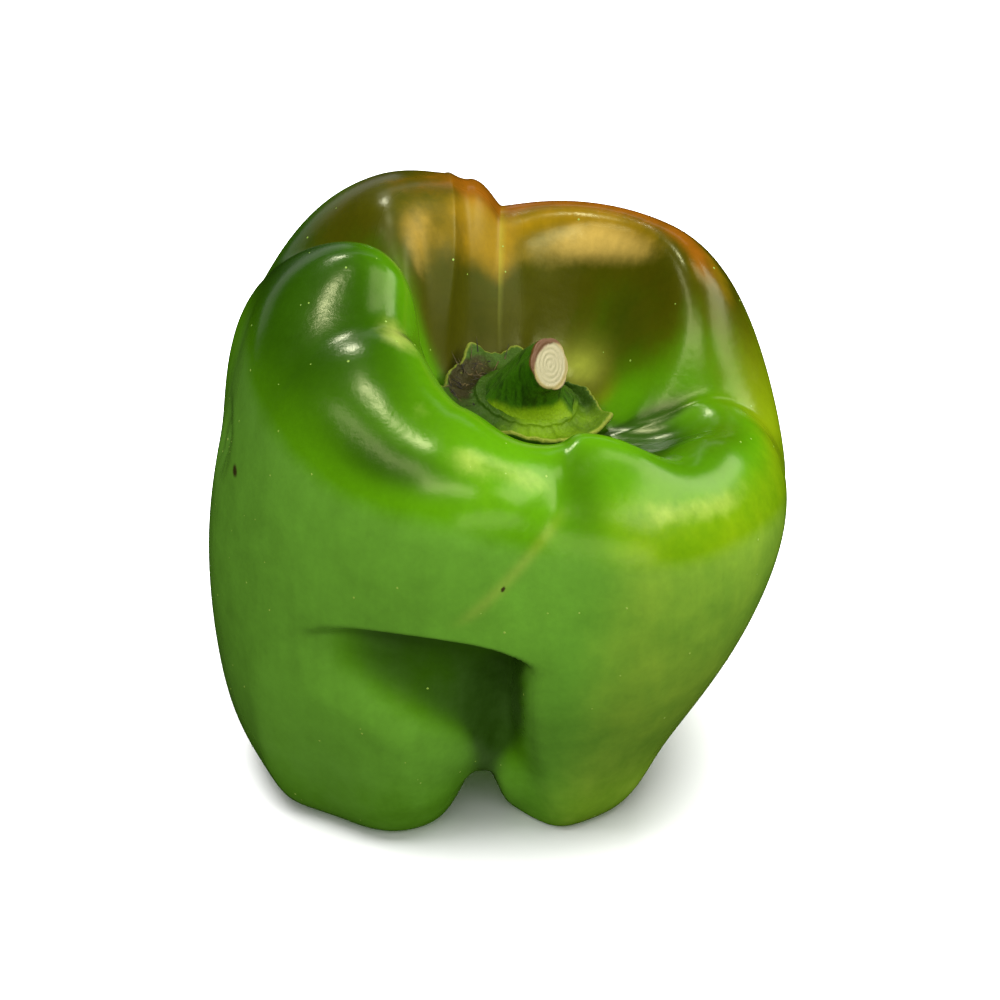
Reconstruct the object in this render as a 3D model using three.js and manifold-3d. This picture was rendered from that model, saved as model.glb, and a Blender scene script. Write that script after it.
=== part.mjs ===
// A ripening green bell pepper, standing on the four feet of its blossom end.
// Millimetres and degrees, +Z up. The origin is on the surface it stands on, under the middle of the
// fruit. -Y is the front, where two feet and the ledge above them show, and azimuths are counted from
// +X towards +Y, so 270 is the front.
//
// The fruit is one closed skin stretched over twelve meridians, six lobes and the six furrows between
// them. Each meridian is a spline from the blossom end, under the foot, up the wall, over the crest and
// down the throat to the seat of the calyx. The calyx is a saucer with a toothed margin in that throat,
// and the stem is a ribbed stub that leans out of it and is cut off aslant.
import * as THREE from "three";
import { mergeVertices } from "three/addons/utils/BufferGeometryUtils.js";
import Module from "manifold-3d";

const wasm = await Module();
wasm.setup();

// Driving dimensions

const GAP = 0.3; // clearance between neighbouring pieces
const OFFSET = [0.75, -0.85]; // brings the middle of the bounding box over the origin

const BLOSSOM_HEIGHT = 13; // of the blossom end above the surface
const SEAT_RADIUS = 8; // where the throat turns into the seat of the calyx
const SEAT_HEIGHT = 57; // in the middle of the seat
const SEAT_TILT = 10; // the seat leans towards +X
const LOW = 0.2; // heights of the wall's three rings, as shares of the crest's height
const BELLY = 0.47;
const HIGH = 0.74;
const AXIS_FOOT = new THREE.Vector2(-1, 0); // the core's place at the surface and at the crest
const AXIS_CREST = new THREE.Vector2(4, 1);
const AXIS_SPAN = 75; // height over which the core leans that far
const ROWS_A_KNOT = 5; // mesh rows between two knots of a meridian

// The meridians, anticlockwise from the front.
// azimuth: at the foot, belly, crest and throat. foot: radius, and height above the surface, below
// which the foot is pressed flat. wall: radius low, at the belly and high. crest, inner, throat: radius
// and height on the crest, down the inner wall, and at its bottom. columns: to the next meridian.
const MERIDIANS = [
  { name: "front furrow", azimuth: [263, 268, 283, 290], foot: [19, 9], wall: [27, 37, 38.5],
    crest: [27.5, 67.5], inner: [21.5, 64.5], throat: [15, 59], columns: 9 },
  { name: "right lobe", azimuth: [300, 316, 330, 322], foot: [24, -0.4], wall: [32.5, 40, 43.5],
    crest: [33, 61.5], inner: [25, 57.5], throat: [17, 56], columns: 7 },
  { name: "right furrow", azimuth: [338, 348, 356, 342], foot: [21, 7], wall: [28, 35.5, 40.5],
    crest: [29, 61.5], inner: [22, 59.5], throat: [15.5, 57], columns: 9 },
  { name: "back right lobe", azimuth: [405, 402, 408, 410], foot: [24, -0.4], wall: [32, 38, 37.5],
    crest: [27.5, 79], inner: [22, 73], throat: [15, 60.5], columns: 9 },
  { name: "back furrow", azimuth: [455, 452, 458, 467], foot: [18, 8], wall: [27, 37, 38],
    crest: [28, 77], inner: [19.5, 72], throat: [13, 61.5], columns: 4 },
  { name: "back lobe", azimuth: [472, 468, 467, 490], foot: [19, 6], wall: [30, 40, 41],
    crest: [30, 81], inner: [20.5, 75.5], throat: [14.5, 62], columns: 4 },
  { name: "back left furrow", azimuth: [484, 478, 474, 515], foot: [19, 5], wall: [31, 41, 42],
    crest: [29.5, 82.8], inner: [18.5, 77.5], throat: [14, 63], columns: 5 },
  { name: "back left lobe", azimuth: [500, 498, 488, 528], foot: [24, -0.4], wall: [34, 45, 49],
    crest: [31, 83.5], inner: [21, 77.5], throat: [14.5, 63], columns: 5 },
  { name: "left back furrow", azimuth: [525, 520, 511, 538], foot: [22, 5], wall: [35, 44, 48],
    crest: [29, 77], inner: [19, 72], throat: [13.5, 62.5], columns: 6 },
  { name: "left lobe", azimuth: [550, 540, 534, 550], foot: [30, 1.2], wall: [43, 45.5, 43],
    crest: [26, 83.5], inner: [17, 77], throat: [14, 62], columns: 7 },
  { name: "left front furrow", azimuth: [570, 568, 565, 575], foot: [30.5, 0.2], wall: [42, 44, 43],
    crest: [25.5, 78], inner: [17.5, 73], throat: [14.5, 62], columns: 7 },
  { name: "front left lobe", azimuth: [591, 598, 605, 605], foot: [26.5, -0.4], wall: [37.5, 41, 42],
    crest: [28, 73.5], inner: [20, 69.5], throat: [15, 61], columns: 10 },
];
const KNOTS = 12; // spans of a meridian between its two poles

// The front rim waves: azimuth, height of the wave and width, each in the rows around RIM_KNOT.
const RIM = [[301, 4.8, 16], [266, -2.8, 14], [330, 2.4, 9]];
const RIM_KNOT = 8.7;

// The front feet are rounded the same way: azimuth, how far the skin swells there and width.
const FEET_SWELL = [[222, 1.4, 14], [250, -3.6, 9], [280, -5.6, 9], [302, -0.6, 12]];
const FEET_KNOT = 2.5;

// The fold under the ledge of the front wall: azimuths where it starts and is deepest, height of the
// ledge, depth of the fold, and how far it reaches down where it starts and is deepest.
const FOLD = { from: 224, to: 268, height: 45, depth: 8, reach: [13, 34] };
const DENT = { azimuth: 184, height: 56, radius: 8, depth: 1.2 }; // in the left wall

// The calyx in its own frame: radius and height of the underside from the middle out, and of the top
// from the margin in. Every tooth raises the margin and widens it.
const CALYX_UNDER = [[5.5, 0], [10, 0.9], [12.2, 2.5]];
const CALYX_MARGIN = [12.6, 3.4];
const CALYX_TOP = [[12.1, 3.7], [11, 2.9], [9.2, 2.4], [7.8, 3], [6.8, 3.6]];
const CALYX_CENTER = new THREE.Vector3(3.4, 0.6, SEAT_HEIGHT + 0.7);
const CALYX_COLUMNS = 72;
const CALYX_OUTLINE = [10.8, 9.8, 9.8, 11.4, 12.2, 12.4, 12.7, 12.9, 12.6, 12.4, 12.6, 12.6]; // every 30°
const TEETH = [98, 130, 196, 258, 300, 342]; // azimuths
const TOOTH_WIDTH = 14; // degrees to either side
const TOOTH = [1, 1.1]; // how far it widens and raises the margin

// The stem: a curve from its base on the calyx to its cut end, with the radius along it.
const STEM_PATH = [[4, -0.4, 60.7], [4.4, -1.5, 66.3], [7.2, -5.2, 70.1]];
const STEM_RADII = [7, 5.8, 4.9, 4.3, 4, 3.8, 3.75];
const STEM_CUT = new THREE.Vector3(0.74, -0.56, 0.37).normalize(); // faces out of the cut
const STEM_SPARE = 4; // length beyond the cut, trimmed off
const STEM_RIBS = 6;
const STEM_RIB_DEPTH = 0.09; // as a share of the radius
const STEM_COLUMNS = 36;
const STEM_ROWS = 12;

const mix = THREE.MathUtils.lerp;
const radians = THREE.MathUtils.degToRad;
const clamp = THREE.MathUtils.clamp;
const smoothstep = THREE.MathUtils.smoothstep;

// A natural cubic spline through values at 0, 1, 2 and so on, as a function.
function spline(values) {
  const last = values.length - 1;
  const bend = new Array(values.length).fill(0);
  const swept = new Array(values.length).fill(0);
  for (let i = 1; i < last; i++) {
    const pivot = 4 - swept[i - 1];
    swept[i] = 1 / pivot;
    bend[i] = (6 * (values[i + 1] - 2 * values[i] + values[i - 1]) - bend[i - 1]) / pivot;
  }
  for (let i = last - 1; i > 0; i--) bend[i] -= swept[i] * bend[i + 1];
  return (t) => {
    const i = clamp(Math.floor(t), 0, last - 1);
    const f = t - i;
    const g = 1 - f;
    return (
      g * values[i] +
      f * values[i + 1] +
      ((g ** 3 - g) * bend[i] + (f ** 3 - f) * bend[i + 1]) / 6
    );
  };
}

// The radius, height and azimuth of a meridian as functions of its knot number.
function meridianCurves(m) {
  const [footRadius, footHeight] = m.foot;
  const [low, belly, high] = m.wall;
  const [crestRadius, crestHeight] = m.crest;
  const [footAt, bellyAt, crestAt, throatAt] = m.azimuth;
  const lowHeight = LOW * crestHeight;
  const highHeight = HIGH * crestHeight;
  const seatDrop = Math.tan(radians(SEAT_TILT)) * SEAT_RADIUS * Math.cos(radians(throatAt));
  const knots = [
    [0, BLOSSOM_HEIGHT],
    [footRadius * 0.5, mix(footHeight, BLOSSOM_HEIGHT, 0.62)],
    [footRadius, footHeight],
    [mix(footRadius, low, 0.66), mix(footHeight, lowHeight, 0.3)],
    [low, lowHeight],
    [belly, BELLY * crestHeight],
    [high, highHeight],
    [mix(crestRadius, high, 0.72), mix(highHeight, crestHeight, 0.7)],
    [crestRadius, crestHeight],
    m.inner,
    m.throat,
    [SEAT_RADIUS, SEAT_HEIGHT - seatDrop],
    [0, SEAT_HEIGHT],
  ];
  // Both poles are mirrored, so that the skin runs level through them.
  const mirrored = [knots[2], knots[1]]
    .map(([r, z]) => [-r, z])
    .concat(knots, [knots[11], knots[10]].map(([r, z]) => [-r, z]));
  const radius = spline(mirrored.map(([r]) => r));
  const height = spline(mirrored.map(([, z]) => z));
  const azimuth = spline([footAt, footAt, bellyAt, crestAt, throatAt, throatAt]);
  return {
    radius: (k) => radius(k + 2),
    height: (k) => height(k + 2),
    azimuth: (k) => azimuth(clamp((k + 1) / 3, 0.5, 4.2)),
  };
}

const curves = MERIDIANS.map(meridianCurves);
const COLUMNS = MERIDIANS.reduce((sum, m) => sum + m.columns, 0);

// How rounded a furrow is at each knot, under 1 a sharp crease and over 1 an open valley, and how broad
// the lobes beside it are.
const creaseAt = spline([1, 1.6, 2, 1.8, 1.5, 1.5, 1.4, 1, 0.8, 0.75, 0.8, 1, 1]);
const breadthAt = spline([2, 2.6, 3.2, 3, 2.6, 2.2, 2.2, 2.3, 2.5, 2.4, 2.2, 2, 2]);
const SOFT_CREASE = { front: 1.15, left: 1.7, back: 1.2 }; // at the crest
const FRONT = [0, 11]; // spans whose furrow is tight between the feet
const LEFT = [9, 10]; // and those whose furrow is shallow at the crest
const BACK = [4, 5, 6];

// The breadth and the crease of the furrow beside a span, counted as the meridian before it.
function furrowing(span, knot) {
  const top = smoothstep(knot, 6.4, 8);
  let breadth = breadthAt(knot);
  let crease = creaseAt(knot);
  if (FRONT.includes(span)) {
    breadth *= 1 + 0.9 * (1 - smoothstep(knot, 2.6, 4.6));
    crease = mix(crease, SOFT_CREASE.front, top);
  }
  if (LEFT.includes(span)) {
    breadth *= 1 - 0.4 * top;
    crease = mix(crease, SOFT_CREASE.left, top);
  }
  if (BACK.includes(span)) {
    breadth *= 1 - 0.25 * top;
    crease = mix(crease, SOFT_CREASE.back, top);
  }
  return [breadth, crease];
}

// The sum of waves round the fruit, each with its azimuth, size and width.
function waves(table, azimuth) {
  return table.reduce((sum, [at, size, width]) => {
    const away = ((azimuth - at + 540) % 360) - 180;
    return sum + size * Math.exp(-((away / width) ** 2));
  }, 0);
}

// How far the front rim rises or falls, and how far the front feet swell.
const rimRise = (azimuth, knot) => waves(RIM, azimuth) * Math.exp(-((knot - RIM_KNOT) ** 2));
const footSwell = (azimuth, knot) =>
  waves(FEET_SWELL, azimuth) * Math.exp(-(((knot - FEET_KNOT) / 1.2) ** 2));

// How deep the wall is folded in under the ledge.
function foldDepth(azimuth, height) {
  const along = clamp((azimuth - FOLD.from) / (FOLD.to - FOLD.from), 0, 1);
  const below = FOLD.height - 0.0085 * (azimuth - 249) ** 2 - height;
  const reach = mix(...FOLD.reach, along);
  const down = clamp(below / 28, 0, 1);
  const edge = 273 + 9 * down ** 3; // the right lobe's side of the fold
  const soft = 2.5 + 6 * down ** 2;
  return (
    FOLD.depth *
    along ** 0.65 *
    smoothstep(below, 0, 2.4) *
    (1 - smoothstep(below, 0.35 * reach, reach)) *
    (1 - smoothstep(azimuth, edge - soft, edge + soft))
  );
}

// How deep the left wall is dented.
function dentDepth(azimuth, height, radius) {
  const across = radians(azimuth - DENT.azimuth) * radius;
  return DENT.depth * (1 - smoothstep(Math.hypot(across, height - DENT.height), 0, DENT.radius));
}

// The point of the skin at a column and a knot number, both of which may be fractions.
function skinPoint(column, knot) {
  let i = 0;
  while (column >= MERIDIANS[i].columns && i < MERIDIANS.length - 1) column -= MERIDIANS[i++].columns;
  const along = column / MERIDIANS[i].columns;
  const j = (i + 1) % MERIDIANS.length;
  const turn = j === 0 ? 360 : 0;
  const [furrow, lobe] = i % 2 === 0 ? [curves[i], curves[j]] : [curves[j], curves[i]];
  const fromFurrow = i % 2 === 0 ? along : 1 - along;
  const [breadth, crease] = furrowing(i, knot);
  const swell = Math.max(1 - (1 - fromFurrow) ** breadth, 0) ** crease;
  const azimuth = mix(curves[i].azimuth(knot), curves[j].azimuth(knot) + turn, along) % 360;
  const height = mix(furrow.height(knot), lobe.height(knot), swell) + rimRise(azimuth, knot);
  let radius = mix(furrow.radius(knot), lobe.radius(knot), swell) + footSwell(azimuth, knot);
  if (knot > 2 && knot < 7.5) {
    radius -= foldDepth(azimuth, height) + dentDepth(azimuth, height, radius);
  }
  const core = AXIS_FOOT.clone().lerp(AXIS_CREST, height / AXIS_SPAN);
  const direction = radians(azimuth);
  return new THREE.Vector3(
    core.x + radius * Math.cos(direction),
    core.y + radius * Math.sin(direction),
    height,
  );
}

// A geometry's solid, with only its positions kept and its seams merged.
function solid(geometry) {
  const bare = new THREE.BufferGeometry().setAttribute("position", geometry.getAttribute("position"));
  const merged = mergeVertices(bare.setIndex(geometry.index), 1e-4);
  return new wasm.Manifold(
    new wasm.Mesh({
      numProp: 3,
      vertProperties: merged.getAttribute("position").array,
      triVerts: new Uint32Array(merged.index.array),
    }),
  );
}

// A solid as a geometry.
function geometryOf(made) {
  const { vertProperties, triVerts } = made.getMesh();
  const geometry = new THREE.BufferGeometry();
  geometry.setAttribute("position", new THREE.BufferAttribute(vertProperties, 3));
  geometry.setIndex(new THREE.BufferAttribute(triVerts, 1));
  return geometry;
}

// A sphere's grid moved to other points: pointAt takes a share of the turn and a row counted from the
// bottom pole.
function wrapped(columns, rows, pointAt) {
  const geometry = new THREE.SphereGeometry(1, columns, rows);
  const position = geometry.getAttribute("position");
  const uv = geometry.getAttribute("uv");
  for (let i = 0; i < position.count; i++) {
    const row = Math.round(uv.getY(i) * rows);
    const column = Math.round(uv.getX(i) * columns) % columns;
    const point = pointAt(row === 0 || row === rows ? 0 : column / columns, row);
    position.setXYZ(i, point.x, point.y, point.z);
  }
  return geometry;
}

function fruitSolid() {
  const skin = wrapped(COLUMNS, KNOTS * ROWS_A_KNOT, (turn, row) =>
    skinPoint(Math.round(turn * COLUMNS), row / ROWS_A_KNOT),
  );
  return solid(skin).trimByPlane([0, 0, 1], 0);
}

// How much of a tooth the calyx's margin has at an azimuth.
function toothAt(azimuth) {
  const away = TEETH.map((at) => Math.abs(((azimuth - at + 540) % 360) - 180));
  return 1 - smoothstep(Math.min(...away), 0, TOOTH_WIDTH);
}

function calyxSolid() {
  const profile = [[0, CALYX_UNDER[0][1]], ...CALYX_UNDER, CALYX_MARGIN, ...CALYX_TOP, [0, CALYX_TOP.at(-1)[1]]];
  const place = new THREE.Matrix4()
    .makeRotationY(radians(SEAT_TILT))
    .setPosition(CALYX_CENTER);
  const outline = spline([...CALYX_OUTLINE.slice(-2), ...CALYX_OUTLINE, ...CALYX_OUTLINE.slice(0, 3)]);
  const saucer = wrapped(CALYX_COLUMNS, profile.length - 1, (turn, row) => {
    const [radius, height] = profile[row];
    const margin = smoothstep(radius, 7.5, CALYX_MARGIN[0]);
    const tooth = toothAt(turn * 360) * smoothstep(radius, 10.5, CALYX_MARGIN[0]);
    const direction = radians(turn * 360);
    const wide = outline(turn * CALYX_OUTLINE.length + 2) - CALYX_MARGIN[0];
    const reach = radius + wide * margin + TOOTH[0] * tooth;
    return new THREE.Vector3(
      reach * Math.cos(direction),
      reach * Math.sin(direction),
      height + TOOTH[1] * tooth,
    ).applyMatrix4(place);
  });
  return solid(saucer);
}

function stemSolid() {
  const path = new THREE.QuadraticBezierCurve3(...STEM_PATH.map((p) => new THREE.Vector3(...p)));
  const end = path.getPoint(1);
  const tangent = path.getTangent(1);
  const radiusAt = spline(STEM_RADII);
  const rows = STEM_ROWS + 2; // the base and the end are closed by a row each
  const stub = wrapped(STEM_COLUMNS, rows, (turn, row) => {
    const t = clamp((row - 1) / STEM_ROWS, 0, 1);
    const along = t * (1 + STEM_SPARE / path.getLength());
    const middle = along <= 1
      ? path.getPointAt(along)
      : end.clone().addScaledVector(tangent, (along - 1) * path.getLength());
    if (row === 0 || row === rows) return middle;
    const heading = along <= 1 ? path.getTangentAt(along) : tangent;
    const turned = new THREE.Quaternion().setFromUnitVectors(new THREE.Vector3(0, 0, 1), heading);
    const direction = radians(turn * 360);
    const rib = 1 + STEM_RIB_DEPTH * (Math.abs(Math.cos((STEM_RIBS * direction) / 2)) - 0.64);
    const reach = rib * radiusAt(Math.min(along, 1) * (STEM_RADII.length - 1));
    return new THREE.Vector3(reach * Math.cos(direction), reach * Math.sin(direction), 0)
      .applyQuaternion(turned)
      .add(middle);
  });
  const seat = new THREE.Vector3(0, 0, CALYX_TOP.at(-1)[1] + GAP)
    .applyAxisAngle(new THREE.Vector3(0, 1, 0), radians(SEAT_TILT))
    .add(CALYX_CENTER);
  const up = new THREE.Vector3(0, 0, 1).applyAxisAngle(new THREE.Vector3(0, 1, 0), radians(SEAT_TILT));
  return solid(stub)
    .trimByPlane(up.toArray(), up.dot(seat))
    .trimByPlane(STEM_CUT.clone().negate().toArray(), -STEM_CUT.dot(end));
}

function mesh(name, made, color, roughness) {
  const material = new THREE.MeshStandardMaterial({ color, roughness, metalness: 0 });
  const built = new THREE.Mesh(geometryOf(made), material);
  built.name = name;
  return built;
}

const pepper = new THREE.Group();
pepper.position.set(...OFFSET, 0);
pepper.add(mesh("fruit", fruitSolid(), 0x4f8a1c, 0.3));
pepper.add(mesh("calyx", calyxSolid(), 0x6f9a3a, 0.6));
pepper.add(mesh("stem", stemSolid(), 0x3f6a22, 0.6));

export default pepper;
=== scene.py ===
"""The look of a ripening green bell pepper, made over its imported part.

Lengths are in millimetres while a shape is worked out, and in metres in every mesh.
"""
import logging
import math
from collections.abc import Callable, Mapping, Sequence
from dataclasses import dataclass, field
from enum import Enum

import bmesh
import bpy
import numpy as np
from bpy.types import Material, Mesh, Node, NodeSocket, Object
from mathutils import Matrix, Vector, noise


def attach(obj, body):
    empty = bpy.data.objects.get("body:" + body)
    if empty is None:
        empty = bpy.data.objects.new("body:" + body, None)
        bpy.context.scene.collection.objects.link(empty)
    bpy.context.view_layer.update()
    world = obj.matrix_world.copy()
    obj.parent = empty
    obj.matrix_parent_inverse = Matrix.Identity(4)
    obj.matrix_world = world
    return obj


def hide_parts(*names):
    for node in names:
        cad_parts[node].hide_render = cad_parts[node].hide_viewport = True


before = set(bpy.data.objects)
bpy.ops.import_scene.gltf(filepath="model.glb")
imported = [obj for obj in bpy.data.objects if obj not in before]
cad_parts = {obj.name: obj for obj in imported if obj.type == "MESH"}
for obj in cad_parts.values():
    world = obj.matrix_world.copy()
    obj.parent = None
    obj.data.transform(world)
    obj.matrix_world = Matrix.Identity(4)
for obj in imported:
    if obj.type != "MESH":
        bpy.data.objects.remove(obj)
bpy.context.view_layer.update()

MM = 0.001
OFFSET = (0.75, -0.85)  # of the whole part, as in its source
LEAF_TINT = (1.0, 1.0, 0.5)  # of the reflections on green tissue
log = logging.getLogger("bell_pepper")

Colour = tuple[float, float, float]
Pair = tuple[float, float]
Triple = tuple[float, float, float]
Layer = tuple[str, Colour, float, float, float, float]  # attribute, colour, raggedness, start, full, strength
Patch = tuple[float, float, float, float, float]  # strength, azimuth and its width, knot and its width


def srgb(red: int, green: int, blue: int) -> Colour:
    """Turn a screen colour into a linear one.

    Args:
        red: From 0 to 255.
        green: From 0 to 255.
        blue: From 0 to 255.

    Returns:
        The linear colour.
    """
    def linear(share: float) -> float:
        """Turn one channel's share of full brightness into a linear one."""
        return share / 12.92 if share <= 0.04045 else ((share + 0.055) / 1.055) ** 2.4
    return linear(red / 255), linear(green / 255), linear(blue / 255)


def mix(low: float, high: float, share: float) -> float:
    """Go from low to high by a share."""
    return low + (high - low) * share


def smooth(values: np.ndarray | float, low: np.ndarray | float, high: np.ndarray | float) -> np.ndarray:
    """Rise smoothly from 0 at low to 1 at high."""
    share = np.clip((np.asarray(values, float) - low) / (high - low), 0.0, 1.0)
    return share * share * (3.0 - 2.0 * share)


def bell(values: np.ndarray, middle: float, width: float) -> np.ndarray:
    """Peak at 1 in the middle and fall off over the width."""
    return np.exp(-(((values - middle) / width) ** 2))


def turned(azimuths: np.ndarray, middle: float) -> np.ndarray:
    """Give the azimuths in degrees from a middle one, from -180 to 180."""
    return (azimuths - middle + 180.0) % 360.0 - 180.0


def around(azimuths: np.ndarray, middle: float, width: float) -> np.ndarray:
    """Peak at 1 at an azimuth and fall off over a width in degrees."""
    return bell(turned(azimuths, middle), 0.0, width)


def between(values: np.ndarray, rise: Pair, fall: Pair) -> np.ndarray:
    """Rise smoothly from 0 to 1 over one range and fall back over another."""
    return smooth(values, *rise) * (1 - smooth(values, *fall))


def spline(values: Sequence[float]) -> Callable[[np.ndarray], np.ndarray]:
    """Fit a natural cubic spline through values at 0, 1, 2 and so on.

    Args:
        values: What the spline passes through.

    Returns:
        A function from places along the spline to its values.
    """
    points = np.array(values, float)
    last = len(points) - 1
    system = 4.0 * np.eye(last + 1) + np.eye(last + 1, k=1) + np.eye(last + 1, k=-1)
    system[0], system[-1] = np.eye(last + 1)[0], np.eye(last + 1)[-1]
    bend = np.linalg.solve(system, [0.0, *(6.0 * np.diff(points, 2)), 0.0])

    def at(places: np.ndarray) -> np.ndarray:
        """Read the spline.

        Args:
            places: Where along the spline.

        Returns:
            Its values there.
        """
        places = np.asarray(places, float)
        i = np.clip(np.floor(places).astype(int), 0, last - 1)
        f = places - i
        g = 1.0 - f
        curve = ((g**3 - g) * bend[i] + (f**3 - f) * bend[i + 1]) / 6.0
        return g * points[i] + f * points[i + 1] + curve
    return at


class Value:
    """A number in a node tree, which Python's operators extend with Math nodes."""

    def __init__(self, tree: "Tree", socket: NodeSocket) -> None:
        """Wrap an output socket of a tree."""
        self.tree = tree
        self.socket = socket

    def math(self, operation: str, *others: "Number", first: "Number | None" = None) -> "Value":
        """Add a Math node.

        Args:
            operation: The node's operation.
            others: What follows this value in the node's sockets.
            first: What comes before this value, for a reflected operator.

        Returns:
            The node's result.
        """
        terms = (self, *others) if first is None else (first, self)
        node = self.tree.node("ShaderNodeMath", dict(enumerate(terms)), operation=operation)
        return Value(self.tree, node.outputs[0])

    @staticmethod
    def operator(operation: str, reflected: bool = False) -> Callable[["Value", "Number"], "Value"]:
        """Make an operator.

        Args:
            operation: The Math node's operation.
            reflected: Whether the other number comes first.

        Returns:
            The operator.
        """
        if reflected:
            return lambda value, other: value.math(operation, first=other)
        return lambda value, other: value.math(operation, other)

    __add__ = __radd__ = operator("ADD")
    __mul__ = __rmul__ = operator("MULTIPLY")
    __sub__ = operator("SUBTRACT")
    __rsub__ = operator("SUBTRACT", reflected=True)
    __pow__ = operator("POWER")

    def smooth(self, low: float, high: float) -> "Value":
        """Rise smoothly from 0 to 1.

        Args:
            low: Where the rise starts.
            high: Where it ends.

        Returns:
            The share.
        """
        sockets = {"Value": self, "From Min": low, "From Max": high}
        node = self.tree.node("ShaderNodeMapRange", sockets, interpolation_type="SMOOTHSTEP")
        return Value(self.tree, node.outputs["Result"])


Number = Value | float
Socket = Value | NodeSocket | float | int | Sequence[float]


class Tree:
    """A node tree of any kind, with one method that adds its nodes."""

    def __init__(self, tree: bpy.types.NodeTree) -> None:
        """Wrap a tree and empty it."""
        self.tree = tree
        self.tree.nodes.clear()

    def node(
        self, kind: str, sockets: Mapping[str | int, Socket] | None = None, **settings: object
    ) -> Node:
        """Add a node.

        Args:
            kind: The node's type.
            sockets: A value or a link for each of its inputs, by name or by number.
            settings: Its properties, which are set first.

        Returns:
            The node.
        """
        made = self.tree.nodes.new(kind)
        for name, setting in settings.items():
            setattr(made, name, setting)
        for key, given in (sockets or {}).items():
            source = given.socket if isinstance(given, Value) else given
            if isinstance(source, NodeSocket):
                self.tree.links.new(source, made.inputs[key])
            else:
                made.inputs[key].default_value = source
        return made


class Shader(Tree):
    """A material's nodes round one Principled shader."""

    def __init__(self, name: str) -> None:
        """Make a material and its coordinates.

        Args:
            name: The material's name.
        """
        self.material = bpy.data.materials.new(name)
        self.material.use_nodes = True
        super().__init__(self.material.node_tree)
        self.place = self.node("ShaderNodeTexCoord").outputs["Object"]

    def noise(
        self, size: float, detail: float = 2.0, rough: float = 0.5, stretch: Triple = (1, 1, 1)
    ) -> Value:
        """Vary a value from 0 to 1 over the piece.

        Args:
            size: How large the patches are, in millimetres.
            detail: How many finer layers there are.
            rough: How strong the finer layers are.
            stretch: How much longer the patches are along each axis.

        Returns:
            The value.
        """
        scale = tuple(1.0 / s for s in stretch)
        mapped = self.node("ShaderNodeMapping", {"Vector": self.place, "Scale": scale})
        sockets = {
            "Vector": mapped.outputs[0], "Scale": 1.0 / (size * MM), "Detail": detail, "Roughness": rough
        }
        return Value(self, self.node("ShaderNodeTexNoise", sockets).outputs[0])

    def attribute(self, name: str) -> Value:
        """Read one of the piece's own attributes."""
        return Value(self, self.node("ShaderNodeAttribute", attribute_name=name).outputs["Fac"])

    def blend(self, base: Socket, over: Socket, share: Number, how: str = "MIX") -> NodeSocket:
        """Lay one colour over another.

        Args:
            base: The colour below, as a socket or a linear colour.
            over: The colour on top.
            share: How much of it shows.
            how: The Mix node's blend type.

        Returns:
            The mixed colour.
        """
        def rgba(colour: Socket) -> Socket:
            """Give a plain colour its alpha."""
            return colour if isinstance(colour, NodeSocket) else (*colour, 1.0)
        sockets = {0: share, 6: rgba(base), 7: rgba(over)}
        return self.node("ShaderNodeMix", sockets, data_type="RGBA", blend_type=how).outputs[2]

    def lay(self, colour: Socket, edge: Value, layers: Sequence[Layer]) -> NodeSocket:
        """Lay colours over one another, each where its attribute says.

        Args:
            colour: What lies below.
            edge: What makes the edges ragged.
            layers: The colours, from the lowest.

        Returns:
            The mixed colour.
        """
        for name, over, ragged, start, full, strength in layers:
            share = (self.attribute(name) + edge * ragged).smooth(start, full) * strength
            colour = self.blend(colour, over, share)
        return colour

    def shade(self, colour: NodeSocket, value: Value) -> NodeSocket:
        """Multiply a colour by a number."""
        grey = self.node("ShaderNodeCombineColor", {0: value, 1: value, 2: value})
        return self.blend(colour, grey.outputs[0], 1.0, "MULTIPLY")

    def bump(self, height: Value, depth: float) -> NodeSocket:
        """Turn a height from 0 to 1 into a normal, with its depth in millimetres."""
        sockets = {"Height": height, "Distance": depth * MM, "Strength": 1.0}
        return self.node("ShaderNodeBump", sockets).outputs[0]

    def finish(self, **sockets: Socket) -> Material:
        """Add the Principled shader and the output.

        Args:
            sockets: The shader's inputs, with _ for a space.

        Returns:
            The material.
        """
        given = {}
        for name, value in sockets.items():
            plain = isinstance(value, tuple) and name.endswith(("Color", "Tint"))
            given[name.replace("_", " ")] = (*value, 1.0) if plain else value
        shader = self.node("ShaderNodeBsdfPrincipled", given)
        self.node("ShaderNodeOutputMaterial", {"Surface": shader.outputs[0]})
        return self.material


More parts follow.
